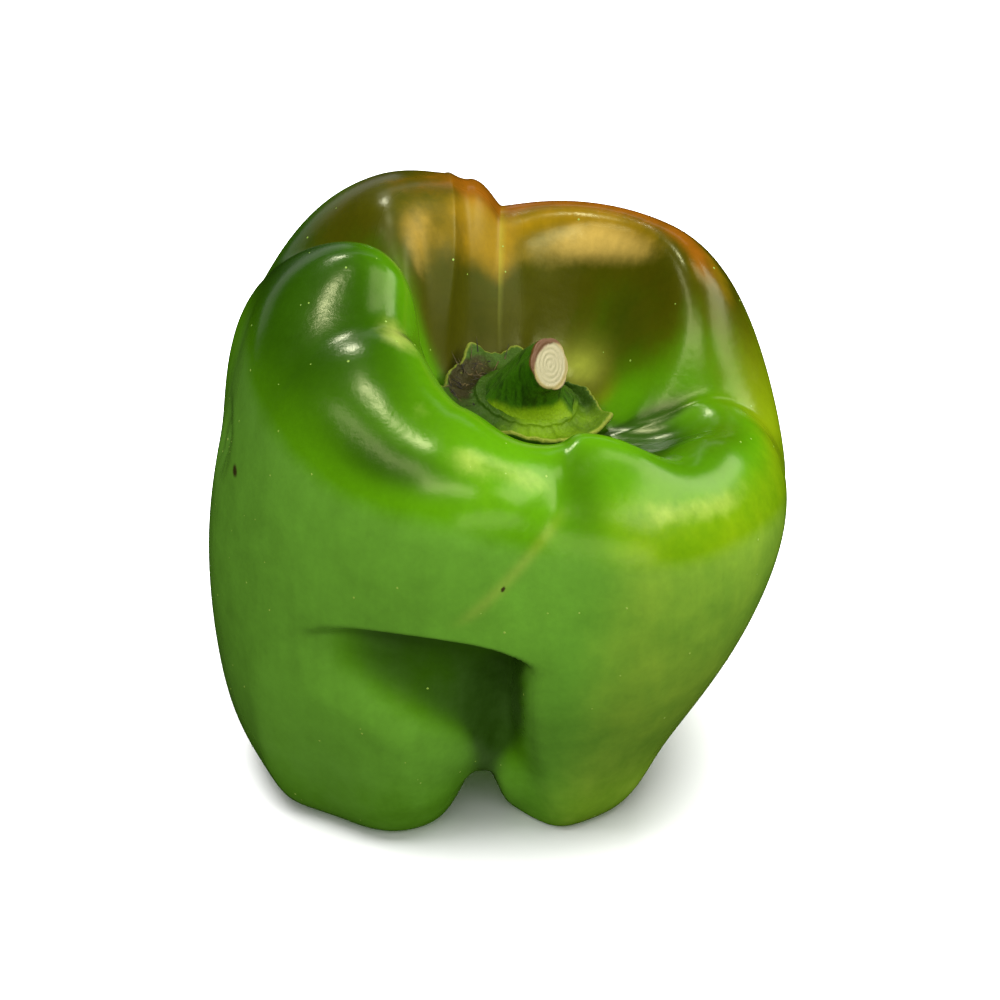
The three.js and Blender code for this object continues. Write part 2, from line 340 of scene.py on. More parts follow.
class Geometry(Tree):
    """A Geometry Nodes tree with named inputs."""

    KINDS = {float: "NodeSocketFloat", int: "NodeSocketInt", Material: "NodeSocketMaterial"}

    def __init__(self, name: str, inputs: Mapping[str, object]) -> None:
        """Make a tree.

        Args:
            name: The tree's name.
            inputs: Each input's name and value.
        """
        super().__init__(bpy.data.node_groups.new(name, "GeometryNodeTree"))
        sockets = self.tree.interface.new_socket
        sockets("Geometry", in_out="INPUT", socket_type="NodeSocketGeometry")
        sockets("Geometry", in_out="OUTPUT", socket_type="NodeSocketGeometry")
        self.values = dict(inputs)
        self.identifiers = {
            key: sockets(key, in_out="INPUT", socket_type=self.KINDS[type(value)]).identifier
            for key, value in inputs.items()
        }
        self.entry = self.node("NodeGroupInput").outputs

    def given(self, name: str) -> Value:
        """Give a named input as a value."""
        return Value(self, self.entry[name])

    def strewn(self, density: Socket) -> Node:
        """Strew points over the mesh that goes in, with the input Seed."""
        sockets = {"Mesh": self.entry["Geometry"], "Density": density, "Seed": self.entry["Seed"]}
        return self.node("GeometryNodeDistributePointsOnFaces", sockets)

    def place(self, **sockets: Socket) -> NodeSocket:
        """Put an instance on every point, from the node's inputs."""
        return self.node("GeometryNodeInstanceOnPoints", sockets).outputs[0]

    def cover(self, piece: Object, name: str, slot: str) -> Object:
        """Run the tree over a piece's mesh and make the result a piece of its own."""
        return ride(name, self.run(add_object("carrier", piece.data.copy()), name))

    def close(self, geometry: NodeSocket) -> None:
        """End the tree in Realize Instances and Set Material.

        Args:
            geometry: What the tree has made.
        """
        real = self.node("GeometryNodeRealizeInstances", {"Geometry": geometry})
        sockets = {"Geometry": real.outputs[0], "Material": self.entry["Material"]}
        dressed = self.node("GeometryNodeSetMaterial", sockets)
        self.node("NodeGroupOutput", {"Geometry": dressed.outputs[0]})

    def run(self, carrier: Object, name: str) -> Mesh:
        """Run the tree on an object and keep the result as a plain mesh.

        Args:
            carrier: The object whose geometry goes in. It is deleted.
            name: The mesh's name.

        Returns:
            The mesh.
        """
        modifier = carrier.modifiers.new(name, "NODES")
        modifier.node_group = self.tree
        for key, value in self.values.items():
            modifier[self.identifiers[key]] = value
        graph = bpy.context.evaluated_depsgraph_get()
        mesh = bpy.data.meshes.new_from_object(carrier.evaluated_get(graph), depsgraph=graph)
        mesh.name = name
        carrier.modifiers.remove(modifier)
        bpy.data.objects.remove(carrier)
        return mesh


def placed(point: Sequence[float]) -> Vector:
    """Move a point as the part is moved, and turn it into metres."""
    return (Vector(point) + Vector((*OFFSET, 0))) * MM


def aim(thing: Object, target: Vector, azimuth: float, elevation: float, distance: float) -> None:
    """Hang a light or a camera round a target that it faces.

    Args:
        thing: The light or the camera.
        target: What it faces, in metres.
        azimuth: Where it is seen from there, in degrees to the right of the photograph's camera.
        elevation: How high it is seen, in degrees.
        distance: How far away it is, in metres.
    """
    turn, rise = math.radians(azimuth), math.radians(elevation)
    away = Vector((math.sin(turn) * math.cos(rise), -math.cos(turn) * math.cos(rise), math.sin(rise)))
    thing.location = target + away * distance
    thing.rotation_euler = away.to_track_quat("Z", "Y").to_euler()


def add_object(name: str, data: bpy.types.ID) -> Object:
    """Put an object at the origin of the scene.

    Args:
        name: The object's name.
        data: Its mesh, curve, light or camera.

    Returns:
        The object.
    """
    made = bpy.data.objects.new(name, data)
    bpy.context.scene.collection.objects.link(made)
    return made


def grid_mesh(name: str, points: np.ndarray, fields: Mapping[str, np.ndarray]) -> Mesh:
    """Close a grid of rings into a mesh with a point at either end.

    Args:
        name: The mesh's name.
        points: Rows, columns and coordinates in millimetres, the first and last rows being poles.
            Columns run anticlockwise seen from above and rows upwards on the outside.
        fields: Attributes to store, with one value for every row and column.

    Returns:
        The mesh, in metres and moved as the part is.
    """
    rows, columns = points.shape[:2]
    flat = np.concatenate([points[0, :1], points[1:-1].reshape(-1, 3), points[-1, :1]])
    flat = (flat + np.array([*OFFSET, 0.0])) * MM
    ring = [(a, (a + 1) % columns) for a in range(columns)]
    faces: list[tuple[int, ...]] = [(0, 1 + b, 1 + a) for a, b in ring]
    for low in range(1, 1 + (rows - 3) * columns, columns):
        high = low + columns
        faces += [(low + a, low + b, high + b, high + a) for a, b in ring]
    top = len(flat) - 1
    faces += [(top - columns + a, top - columns + b, top) for a, b in ring]
    mesh = bpy.data.meshes.new(name)
    mesh.from_pydata(flat.tolist(), [], faces)
    for key, values in fields.items():
        kept = np.concatenate([values[0, :1], values[1:-1].ravel(), values[-1, :1]])
        mesh.attributes.new(key, "FLOAT", "POINT").data.foreach_set("value", kept.astype(np.float32))
    mesh.polygons.foreach_set("use_smooth", np.ones(len(mesh.polygons), bool))
    mesh.update()
    return mesh


def ride(name: str, mesh: Mesh, node: str | None = None) -> Object:
    """Make a mesh a piece of the part.

    Args:
        name: The piece's name.
        mesh: Its mesh.
        node: The CAD node that it replaces, if any.

    Returns:
        The piece.
    """
    piece = add_object(name, mesh)
    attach(piece, "root")
    if node:
        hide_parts(node)
    log.info("%s: %d faces", name, len(mesh.polygons))
    return piece


@dataclass(frozen=True)
class Meridian:
    """A line up the fruit along a lobe or a furrow, in millimetres and degrees."""

    name: str
    azimuth: tuple[float, float, float, float]  # at the foot, belly, crest and throat
    foot: Pair  # radius and height
    wall: Triple  # radius low, at the belly and high
    crest: Pair
    inner: Pair
    throat: Pair
    columns: int  # to the next meridian


MERIDIANS = (
    Meridian("front furrow", (263, 268, 283, 290), (19, 9), (27, 37, 38.5),
             (27.5, 67.5), (21.5, 64.5), (15, 59), 9),
    Meridian("right lobe", (300, 316, 330, 322), (24, -0.4), (32.5, 40, 43.5),
             (33, 61.5), (25, 57.5), (17, 56), 7),
    Meridian("right furrow", (338, 348, 356, 342), (21, 7), (28, 35.5, 40.5),
             (29, 61.5), (22, 59.5), (15.5, 57), 9),
    Meridian("back right lobe", (405, 402, 408, 410), (24, -0.4), (32, 38, 37.5),
             (27.5, 79), (22, 73), (15, 60.5), 9),
    Meridian("back furrow", (455, 452, 458, 467), (18, 8), (27, 37, 38),
             (28, 77), (19.5, 72), (13, 61.5), 4),
    Meridian("back lobe", (472, 468, 467, 490), (19, 6), (30, 40, 41),
             (30, 81), (20.5, 75.5), (14.5, 62), 4),
    Meridian("back left furrow", (484, 478, 474, 515), (19, 5), (31, 41, 42),
             (29.5, 82.8), (18.5, 77.5), (14, 63), 5),
    Meridian("back left lobe", (500, 498, 488, 528), (24, -0.4), (34, 45, 49),
             (31, 83.5), (21, 77.5), (14.5, 63), 5),
    Meridian("left back furrow", (525, 520, 511, 538), (22, 5), (35, 44, 48),
             (29, 77), (19, 72), (13.5, 62.5), 6),
    Meridian("left lobe", (550, 540, 534, 550), (30, 1.2), (43, 45.5, 43),
             (26, 83.5), (17, 77), (14, 62), 7),
    Meridian("left front furrow", (570, 568, 565, 575), (30.5, 0.2), (42, 44, 43),
             (25.5, 78), (17.5, 73), (14.5, 62), 7),
    Meridian("front left lobe", (591, 598, 605, 605), (26.5, -0.4), (37.5, 41, 42),
             (28, 73.5), (20, 69.5), (15, 61), 10),
)


PATCHES: dict[str, tuple[Patch, ...]] = {
    "lime": ((0.5, 205, 12, 8.35, 0.35), (0.15, 262, 14, 7.1, 0.4), (0.5, 5, 16, 7.2, 0.8),
             (0.9, 34, 20, 10.3, 0.4)),
    # deep: darker green of the skin, partly painted shade in the bowl, the throat, the trough and the valleys
    "deep": ((0.95, 37, 22, 9.4, 0.5), (0.95, 190, 34, 7.6, 1.3), (0.8, 334, 26, 9.3, 0.9),
             (0.45, 235, 30, 7.8, 0.9), (0.5, 320, 40, 7.9, 0.6), (0.5, 240, 17, 7.1, 0.28),
             (0.6, 127, 6, 9.25, 0.35), (0.5, 284, 8, 7.2, 0.9), (0.9, 118, 18, 9.5, 0.6),
             (0.8, 150, 22, 7.2, 0.7), (0.5, 338, 16, 9.6, 0.6)),
    "olive": ((0.4, 336, 24, 8.2, 0.7), (0.5, 14, 20, 9.2, 0.6), (0.6, 16, 22, 7.3, 0.8),
              (0.35, 12, 16, 8.3, 0.7)),
    "gold": ((0.85, 66, 34, 8.4, 0.42), (0.6, 139, 9, 8.8, 0.4), (0.2, 128, 12, 8.8, 0.4),
             (0.6, 24, 14, 7.6, 0.3)),
    # pale: pale skin, with painted highlights on the domes and the lip
    "pale": ((0.7, 207, 14, 8.4, 0.4), (0.2, 54, 15, 10.0, 0.25), (0.3, 4, 5, 7.3, 0.3),
             (0.45, 238, 6, 7.85, 0.25)),
    # amber: a painted golden highlight on the inner crests
    "amber_highlight": ((0.35, 133, 7, 8.75, 0.35), (0.5, 143, 5, 9.0, 0.35)),
    "blush": ((0.8, 106, 10, 8.0, 0.5), (0.3, 124, 14, 8.1, 0.45)),
    "straw": ((0.8, 50, 18, 10.15, 0.3),),
}


@dataclass(frozen=True)
class Skin:
    """The waxy skin, from green through olive to the first brown and orange, with painted shade, highlights
    and reflection haze.
    """

    green: Colour = srgb(76, 130, 4)
    # the deep green also carries painted shade, and the amber is a painted golden highlight
    layers: tuple[Layer, ...] = (
        ("lime", srgb(112, 134, 6), 0.5, 0.1, 0.9, 1), ("deep", srgb(34, 66, 1), 0.4, 0.15, 0.95, 1),
        ("olive", srgb(58, 58, 1), 0.5, 0.15, 0.9, 1), ("gold", srgb(126, 98, 6), 0.6, 0.2, 0.95, 1),
        ("blush", srgb(122, 72, 7), 0.8, 0.2, 1.0, 1), ("amber_highlight", srgb(182, 152, 72), 0.6, 0.2, 1.0, 0.85),
    )
    straw: Colour = srgb(150, 158, 54)
    # the pale veil is pale skin with painted highlights; the grey-green veil is a painted reflection haze
    veils: tuple[Layer, ...] = (
        ("pale", srgb(162, 176, 82), 0.8, 0.25, 0.9, 0.7), ("painted_haze", srgb(122, 152, 92), 0.5, 0.3, 0.9, 0.17),
    )
    scar: Colour = srgb(50, 44, 18)
    roughness: Pair = (0.17, 0.27)
    satin: float = 0.22  # what the satin attribute adds to the roughness

    def material(self) -> Material:
        """Build the skin's material from its attributes.

        Returns:
            The material.
        """
        s = Shader("skin")
        cloud = s.noise(16, 3, 0.55)
        patch = s.noise(5, 4, 0.6)
        fine = s.noise(0.9, 3, 0.6)
        lines = s.noise(2.2, 3, 0.6, stretch=(1, 1, 9))
        edge = (cloud - 0.5) * 0.7 + (patch - 0.5) * 0.45 + (lines - 0.5) * 0.3
        colour = s.lay(self.green, edge, self.layers)
        colour = s.blend(colour, self.straw, s.attribute("straw") * (0.75 + patch * 0.5))
        colour = s.lay(colour, edge, self.veils)
        colour = s.blend(colour, self.scar, (s.attribute("scar") * (0.4 + patch * 1.2)).smooth(0.3, 0.8))
        colour = s.shade(colour, 0.42 + cloud * 0.36 + patch * 0.42 + fine * 0.2 + lines * 0.18)
        low, high = self.roughness
        return s.finish(
            Base_Color=colour,
            Roughness=low + (high - low) * patch + s.attribute("satin") * self.satin,
            IOR=1.45,
            Specular_IOR_Level=0.27,
            Specular_Tint=LEAF_TINT,
            Normal=s.bump(fine * 0.4 + patch * 1.0 + s.noise(9, 1) * 4.0, 0.05),
        )


@dataclass
class Fruit:
    """The fruit: a skin over twelve meridians, with a fold under a ledge in its front wall."""

    blossom_height: float = 13  # of the hollow between the feet
    seat_radius: float = 8
    seat_height: float = 57
    seat_tilt: float = 10
    shares: Triple = (0.2, 0.47, 0.74)  # heights of the wall's rings, of the crest's height
    axis_foot: Pair = (-1, 0)  # x and y of the middle at the floor
    axis_crest: Pair = (4, 1)  # and at the span above it
    axis_span: float = 75
    finer: int = 4  # columns for each of the part's
    rows_a_knot: int = 18
    knots: int = 12
    wall_knots: Pair = (2, 7.5)  # where the fold and the dent may be
    ledge_knots: tuple[Pair, Pair] = ((4.6, 5.1), (6.0, 6.4))  # where the rows get closer and stop
    ledge_rows: int = 40  # on top of the others
    ledge_density: float = 2.2
    row_samples: int = 2401
    fold_azimuths: Pair = (224, 268)  # where it starts and where it is deepest
    fold_height: float = 45.0
    fold_bow: Pair = (249, 0.0085)  # azimuth of the ledge's top, drop by its square
    fold_depth: float = 8
    fold_reach: Pair = (13, 34)  # how far down it goes, at either azimuth
    fold_lip: float = 2.4
    fold_growth: float = 0.65  # power of the depth along the ledge
    fold_edge: Triple = (273, 9, 28)  # azimuth, what it gains lower down, height over which it does
    fold_softness: Pair = (2.5, 6)  # of that edge, at the ledge and what it gains
    fold_fade: float = 0.35  # share of the reach where the depth starts to fade
    dent_place: Pair = (184, 56)  # azimuth and height
    dent_size: Pair = (1.2, 8)  # depth and radius
    wrinkle_depth: float = 0.18
    creases: tuple[float, ...] = (1, 1.6, 2, 1.8, 1.5, 1.5, 1.4, 1, 0.8, 0.75, 0.8, 1, 1)  # by knot
    breadths: tuple[float, ...] = (2, 2.6, 3.2, 3, 2.6, 2.2, 2.2, 2.3, 2.5, 2.4, 2.2, 2, 2)
    top_furrows: tuple[tuple[tuple[int, ...], float, float], ...] = (
        ((0, 11), 0, 1.15), ((9, 10), 0.4, 1.7), ((4, 5, 6), 0.25, 1.2),
    )  # spans, how much narrower their furrow is at the crest, and its crease there
    furrow_floor: float = 0.09  # share of a span over which the furrow's bottom is round
    rim: tuple[Triple, ...] = ((301, 4.8, 16), (266, -2.8, 14), (330, 2.4, 9))  # azimuth, rise, width
    rim_knot: float = 8.7
    feet: tuple[Triple, ...] = ((222, 1.4, 14), (250, -3.6, 9), (280, -5.6, 9), (302, -0.6, 12))
    feet_knot: Pair = (2.5, 1.2)  # middle and width
    skin: Skin = field(default_factory=Skin)

    def curves(self, m: Meridian) -> tuple[Callable, Callable, Callable]:
        """Fit splines through a meridian's knots.

        Args:
            m: The meridian.

        Returns:
            Its radius, height and azimuth as functions of the knot number.
        """
        foot_radius, foot_height = m.foot
        low, belly, high = m.wall
        crest_radius, crest_height = m.crest
        low_height, belly_height, high_height = (share * crest_height for share in self.shares)
        drop = math.tan(math.radians(self.seat_tilt)) * self.seat_radius
        knots = [
            (0, self.blossom_height),
            (foot_radius * 0.5, mix(foot_height, self.blossom_height, 0.62)),
            (foot_radius, foot_height),
            (mix(foot_radius, low, 0.66), mix(foot_height, low_height, 0.3)),
            (low, low_height),
            (belly, belly_height),
            (high, high_height),
            (mix(crest_radius, high, 0.72), mix(high_height, crest_height, 0.7)),
            (crest_radius, crest_height),
            m.inner,
            m.throat,
            (self.seat_radius, self.seat_height - drop * math.cos(math.radians(m.azimuth[3]))),
            (0, self.seat_height),
        ]
        below, above = ([(-r, z) for r, z in ends] for ends in (knots[2:0:-1], knots[11:9:-1]))
        mirrored = below + knots + above
        radius = spline([r for r, _ in mirrored])
        height = spline([z for _, z in mirrored])
        foot, belly_at, crest, throat = m.azimuth
        azimuth = spline([foot, foot, belly_at, crest, throat, throat])
        return (
            lambda k: radius(k + 2),
            lambda k: height(k + 2),
            lambda k: azimuth(np.clip((k + 1) / 3, 0.5, 4.2)),
        )

    def fold(self, azimuth: np.ndarray, height: np.ndarray) -> np.ndarray:
        """Give how deep the wall is folded in under the ledge.

        Args:
            azimuth: The points' azimuths.
            height: Their heights.

        Returns:
            The depths.
        """
        start, deepest = self.fold_azimuths
        along = np.clip((azimuth - start) / (deepest - start), 0, 1)
        middle, bow = self.fold_bow
        below = self.fold_height - bow * (azimuth - middle) ** 2 - height
        reach = mix(*self.fold_reach, along)
        edge, gain, span = self.fold_edge
        down = np.clip(below / span, 0, 1)
        soft = self.fold_softness[0] + self.fold_softness[1] * down**2
        lengthwise = 1 - smooth(below / reach, self.fold_fade, 1)
        across = 1 - smooth(azimuth - edge - gain * down**3, -soft, soft)
        depth = self.fold_depth * along**self.fold_growth
        return depth * smooth(below, 0, self.fold_lip) * lengthwise * across

    def dent(self, azimuth: np.ndarray, height: np.ndarray, radius: np.ndarray) -> np.ndarray:
        """Give how deep the left wall is dented, with the wrinkles in the dent.

        Args:
            azimuth: The points' azimuths.
            height: Their heights.
            radius: Their radii.

        Returns:
            The depths.
        """
        depth, reach = self.dent_size
        across = np.radians(turned(azimuth, self.dent_place[0])) * radius
        away = 1 - smooth(np.hypot(across, height - self.dent_place[1]), 0, reach)
        wrinkles = self.wrinkle_depth * np.sin(across * 1.5 + np.sin(height * 0.7) * 1.3)
        return (depth + wrinkles) * away

    def furrowing(self, span: int, knot: np.ndarray) -> tuple[np.ndarray, np.ndarray]:
        """Shape the furrow beside a span: tight between the front feet, soft in front and at the back.

        Args:
            span: The number of the meridian before the span.
            knot: The knots of its points.

        Returns:
            How fast the skin rises out of the furrow, and how gently it starts to.
        """
        crease, breadth = spline(self.creases)(knot), spline(self.breadths)(knot)
        top = smooth(knot, 6.4, 8)
        if span in (0, len(MERIDIANS) - 1):
            breadth *= 1 + 0.9 * (1 - smooth(knot, 2.6, 4.6))
        for spans, narrower, top_crease in self.top_furrows:
            if span in spans:
                breadth *= 1 - narrower * top
                crease = crease * (1 - top) + top_crease * top
        return breadth, crease

    def rim_wave(self, azimuth: np.ndarray, knot: np.ndarray) -> np.ndarray:
        """Raise and lower the front rim."""
        waves = sum(rise * around(azimuth, at, width) for at, rise, width in self.rim)
        return waves * bell(knot, self.rim_knot, 1)

    def foot_wave(self, azimuth: np.ndarray, knot: np.ndarray) -> np.ndarray:
        """Round the front feet."""
        waves = sum(swell * around(azimuth, at, width) for at, swell, width in self.feet)
        return waves * bell(knot, *self.feet_knot)

    def rows(self) -> np.ndarray:
        """Space the rows by knot number, closer where the ledge is.

        Returns:
            The rows' knot numbers.
        """
        even = np.linspace(0, self.knots, self.row_samples)
        density = 1 + self.ledge_density * between(even, *self.ledge_knots)
        travelled = np.concatenate([[0], np.cumsum((density[1:] + density[:-1]) / 2)])
        count = self.knots * self.rows_a_knot + self.ledge_rows
        return np.interp(np.linspace(0, travelled[-1], count + 1), travelled, even)

    def grid(self) -> tuple[np.ndarray, dict[str, np.ndarray]]:
        """Work out the skin's points and where on the fruit each one is.

        Returns:
            The points, in millimetres, and for each the knot, the azimuth, the height, the share of
            the way from the nearest furrow, and how far the fold is pushed in.
        """
        knot = self.rows()
        flat = self.furrow_floor
        wall = (knot > self.wall_knots[0]) & (knot < self.wall_knots[1])
        curves = [self.curves(m) for m in MERIDIANS]
        points, places = [], {"knot": [], "azimuth": [], "height": [], "off": [], "pushed": []}
        for i, m in enumerate(MERIDIANS):
            j = (i + 1) % len(MERIDIANS)
            turn = 360 if j == 0 else 0
            furrow, lobe = (curves[i], curves[j]) if i % 2 == 0 else (curves[j], curves[i])
            breadth, crease = self.furrowing(i, knot)
            for step in range(m.columns * self.finer):
                along = step / (m.columns * self.finer)
                off = along if i % 2 == 0 else 1 - along
                soft = (math.hypot(off, flat) - flat) / (math.hypot(1, flat) - flat)
                swell = np.maximum(1 - (1 - soft) ** breadth, 0) ** crease
                azimuth = (curves[i][2](knot) * (1 - along) + (curves[j][2](knot) + turn) * along) % 360
                radius, height = (furrow[n](knot) * (1 - swell) + lobe[n](knot) * swell for n in (0, 1))
                height += self.rim_wave(azimuth, knot)
                radius += self.foot_wave(azimuth, knot)
                pushed = np.where(wall, self.fold(azimuth, height), 0)
                radius = radius - pushed - np.where(wall, self.dent(azimuth, height, radius), 0)
                share = height / self.axis_span
                direction = np.radians(azimuth)
                x, y = (mix(low, high, share) for low, high in zip(self.axis_foot, self.axis_crest))
                across, deep = radius * np.cos(direction), radius * np.sin(direction)
                points.append(np.stack([x + across, y + deep, np.maximum(height, 0)], axis=1))
                for key, column in zip(places, (knot, azimuth, height, np.full_like(knot, off), pushed)):
                    places[key].append(column)
        return np.stack(points, axis=1), {key: np.stack(columns, axis=1) for key, columns in places.items()}

    def masks(self, places: Mapping[str, np.ndarray]) -> dict[str, np.ndarray]:
        """Work out where each colour of the skin lies, and where shade, highlights and reflection haze are
        painted into it.

        Args:
            places: Where on the fruit each point is, from grid.

        Returns:
            An attribute from 0 to 1 for each colour.
        """
        k, a, z, off, pushed = (places[key] for key in ("knot", "azimuth", "height", "off", "pushed"))
        spots = {
            name: sum(strength * around(a, at, wide) * bell(k, row, high)
                      for strength, at, wide, row, high in patches)
            for name, patches in PATCHES.items()
        }
        wall = 1 - smooth(k, 7.9, 8.6)
        inner = smooth(k, 8.1, 9.0)
        back = between(turned(a, 90), (-88, -50), (52, 80))
        lime = 0.5 * wall * between(turned(a, 320), (-45, -22), (62, 90)) * (1 - 0.8 * smooth(k, 7.0, 7.8))
        lime += spots["lime"] + 0.3 * bell(k, 10.2, 0.4) * back
        # painted shade: in the hollow and its inner furrows, in the fold and the dent, low on the left and
        # the feet, and in the cleft
        deep = spots["deep"] + 0.7 * bell(k, 11.0, 0.8) + 0.6 * (1 - smooth(off, 0, 0.12)) * inner
        deep += 0.8 * smooth(pushed, 0.3, 5) + 0.3 * around(a, 184, 7) * bell(z, 53, 7) * wall
        deep += 0.3 * around(a, 226, 34) * (1 - smooth(z, 8, 40))
        deep += 0.25 * around(a, 182, 36) * (1 - smooth(z, 22, 66))
        deep += 0.85 * around(a, 266, 5) * (1 - smooth(z, 24, 38)) * wall
        olive = 0.9 * back * between(k, (6.6, 7.8), (10.2, 11.0))
        olive *= 1 - 0.5 * around(a, 0, 12) * (1 - smooth(k, 7.4, 8.0))
        olive += spots["olive"]
        bare = 0.35 * around(a, 36, 22) * bell(k, 9.45, 0.5) + 0.12 * around(a, 118, 16) * bell(k, 9.5, 0.5)
        gold = spots["gold"] + 0.9 * between(k, (8.1, 8.6), (8.9, 9.5)) * around(a, 108, 16)
        # painted highlights: pale bands on the right shoulder and the front lip
        pale = spots["pale"] + 0.6 * between(a, (288, 304), (318, 340)) * bell(k, 7.25, 0.26)
        pale += 0.52 * between(a, (242, 258), (270, 286)) * bell(k, 7.45, 0.26)
        # painted golden highlight along the back right crest
        amber_highlight = spots["amber_highlight"] + 0.95 * around(a, 62, 25) * bell(k, 8.37 + 0.006 * a, 0.3)
        blush = spots["blush"] + 0.9 * between(turned(a, 60), (-54, -28), (30, 46)) * bell(k, 7.85, 0.38)
        streak = bell(a, 275 - 1.25 * (60 - z), 1.9) * between(z, (46, 50), (60, 64)) * wall
        seam = (1 - smooth(off, 0, 0.05)) * bell(k, 8.8, 0.8) * around(a, 96, 14)
        # painted reflection haze on the left and front walls, weaker low down and in the fold
        painted_haze = smooth(a, 130, 196) * (1 - smooth(turned(a, 340), -24, 34)) * (1 - smooth(k, 6.3, 7.0))
        painted_haze *= (0.65 + 0.35 * smooth(z, 4, 26)) * (1 - 0.5 * smooth(pushed, 0.5, 3))
        scars = around(a, 197, 1.6) * bell(z, 56, 1.2) + around(a, 267, 0.5) * bell(z, 52.8, 0.6)
        masks = {
            "lime": lime, "deep": deep, "olive": olive * (1 - bare), "gold": gold, "blush": blush,
            "straw": spots["straw"] + 0.3 * (streak + seam), "scar": scars * wall, "pale": pale,
            "painted_haze": painted_haze, "amber_highlight": amber_highlight,
            "satin": between(a, (88, 98), (150, 170)) * smooth(k, 8.0, 8.6),
        }
        return {key: np.clip(values, 0, 1) for key, values in masks.items()}

    def build(self) -> Object:
        """Make the fruit.

        Returns:
            The piece.
        """
        points, places = self.grid()
        mesh = grid_mesh("fruit_skin", points, self.masks(places))
        mesh.materials.append(self.skin.material())
        return ride("fruit_skin", mesh, "fruit")


@dataclass(frozen=True)
class CalyxTissue:
    """The calyx: dull green, with pale veins, a yellow margin, dried brown patches darkened with painted
    shade, and painted light on its front.
    """

    green: Colour = srgb(42, 72, 5)
    lime: Colour = srgb(92, 124, 6)
    cream: Colour = srgb(116, 124, 40)
    # dark brown of dried tissue together with painted shade
    dry_and_shade: Colour = srgb(36, 32, 7)

    def material(self) -> Material:
        """Build the calyx's material from its attributes.

        Returns:
            The material.
        """
        s = Shader("calyx")
        patch = s.noise(2.2, 4, 0.6)
        grain = s.noise(0.5, 3, 0.6)
        # the lime layer is painted light; the dark brown layer is dried tissue with painted shade
        broad = (("lit", self.lime, 0.5, 0.2, 0.9, 1), ("dry_and_shade", self.dry_and_shade, 0.9, 0.3, 0.8, 1))
        colour = s.lay(self.green, patch - 0.5, broad)
        colour = s.lay(colour, grain - 0.5, (("margin", self.cream, 0.3, 0.35, 0.8, 0.8),))
        colour = s.blend(colour, self.cream, (grain * patch).smooth(0.36, 0.46) * 0.35)
        colour = s.shade(colour, 0.75 + grain * 0.5)
        return s.finish(
            Base_Color=colour,
            Roughness=0.42 + patch * 0.25,
            Specular_IOR_Level=0.22,
            Specular_Tint=LEAF_TINT,
            Normal=s.bump(grain * 1.0 + patch * 2.0, 0.16),
        )


@dataclass
class Calyx:
    """The saucer with a toothed, curled margin in the throat."""

    profile: tuple[Pair, ...] = (
        (0, 0), (5.5, 0), (10, 0.9), (12.2, 2.5), (12.6, 3.4), (12.1, 3.7), (11, 2.9), (9.2, 2.4), (7.8, 3),
        (6.8, 3.6), (0, 3.6),
    )
    margin_row: int = 4  # of the profile
    center: Triple = (3.4, 0.6, 57.7)
    tilt: float = 10
    outline: tuple[float, ...] = (10.8, 9.8, 9.8, 11.4, 12.2, 12.4, 12.7, 12.9, 12.6, 12.4, 12.6, 12.6)
    teeth: tuple[float, ...] = (98, 130, 196, 258, 300, 342)
    tooth_width: float = 14
    tooth: Pair = (1, 1.1)  # how far one reaches outwards and upwards
    stray: Pair = (0.5, 0.7)  # how far the edge strays outwards and upwards
    spread: Pair = (7.5, 12.6)  # radii over which the outline takes hold
    curl: Pair = (10.5, 12.6)  # and over which the teeth do
    veins: tuple[Triple, ...] = ((17, 0.16, 2.2), (41, 0.06, 0))  # how many, how high, how crooked
    veined: Pair = (6.6, 8.2)  # radii over which the veins rise
    columns: int = 300
    finer: int = 8
    tissue: CalyxTissue = field(default_factory=CalyxTissue)

    def build(self) -> Object:
        """Make the calyx.

        Returns:
            The piece.
        """
        spans = len(self.profile) - 1
        row = np.linspace(0, spans, spans * self.finer + 1)
        radius = np.maximum(spline([r for r, _ in self.profile])(row), 0)
        height = spline([z for _, z in self.profile])(row)
        radius[0] = radius[-1] = 0
        wide = spline((*self.outline[-2:], *self.outline, *self.outline[:3]))
        turn = np.arange(self.columns) / self.columns
        azimuth = turn * 360
        direction = np.radians(azimuth)
        near = np.min([np.abs(turned(azimuth, at)) for at in self.teeth], axis=0)
        tooth = 1 - smooth(near, 0, self.tooth_width)
        reach = wide(turn * len(self.outline) + 2) - self.profile[self.margin_row][0]
        margin, edge, ridged = (smooth(radius, *at)[:, None] for at in (self.spread, self.curl, self.veined))
        upper = smooth(row, 3.6, 5.0)[:, None]
        wobble = np.array([
            noise.fractal(Vector((3 * math.cos(t), 3 * math.sin(t), 1.7)), 0.8, 2.0, 4)
            for t in turn * math.tau
        ])
        far = radius[:, None] + reach * margin + self.tooth[0] * tooth * edge + self.stray[0] * wobble * edge
        veins = sum(high * np.sin(direction * count + sway * wobble) for count, high, sway in self.veins)
        lift = height[:, None] + (self.tooth[1] * tooth + self.stray[1] * wobble) * edge
        lift = lift + veins * ridged * (1 - 0.5 * edge) * upper
        local = np.stack([far * np.cos(direction), far * np.sin(direction), lift], axis=2)
        lean = np.array(Matrix.Rotation(math.radians(self.tilt), 3, "Y"))
        points = local @ lean.T + np.array(self.center)
        rim = bell(row, 4.4, 0.7)[:, None] * np.ones_like(far)
        # painted shade, over dried tissue, on the saucer's top inside its raised back-left margin
        dry_and_shade = around(azimuth, 158, 46) * between(far, (6.5, 9), (11.4, 12.6)) * upper
        # painted light on the front and right of the saucer's top
        lit = (around(azimuth, 288, 42) + 0.5 * around(azimuth, 350, 22)) * upper
        fields = {"margin": rim, "dry_and_shade": np.clip(dry_and_shade, 0, 1), "lit": np.clip(lit, 0, 1)}
        mesh = grid_mesh("calyx_saucer", points, fields)
        mesh.materials.append(self.tissue.material())
        return ride("calyx_saucer", mesh, "calyx")


